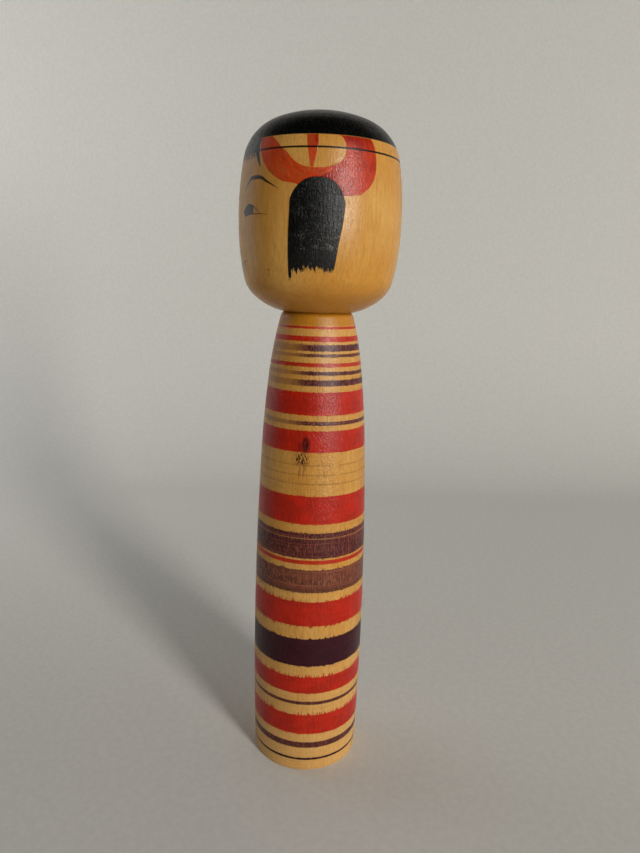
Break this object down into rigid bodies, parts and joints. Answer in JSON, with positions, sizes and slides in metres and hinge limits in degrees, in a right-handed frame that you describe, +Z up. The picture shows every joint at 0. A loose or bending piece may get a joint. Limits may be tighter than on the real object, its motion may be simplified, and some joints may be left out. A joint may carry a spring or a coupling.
{
  "type": "kokeshi doll",
  "caption": "Turned wooden kokeshi doll: a slim tapered body striped in red and purple, and a barrel-shaped painted head that turns in a socket.",
  "frame": {"origin": "centre of the flat base", "axes": "+Z up along the turning axis, the painted face looks towards -Y"},
  "size_m": [0.0572, 0.0572, 0.242],
  "materials": {
    "body_wood": "waxed pale hardwood, lathe-painted with red and purple lines",
    "head_wood": "waxed honey-coloured hardwood with brush-painted black and red ink"
  },
  "bodies": {
    "trunk": {"body": "body_wood"},
    "head": {"head": "head_wood"}
  },
  "joints": [
    {"name": "head_turn", "type": "hinge", "parent": "trunk", "child": "head", "pos_m": [0, 0, 0.175], "axis": [0, 0, 1], "continuous": true}
  ]
}
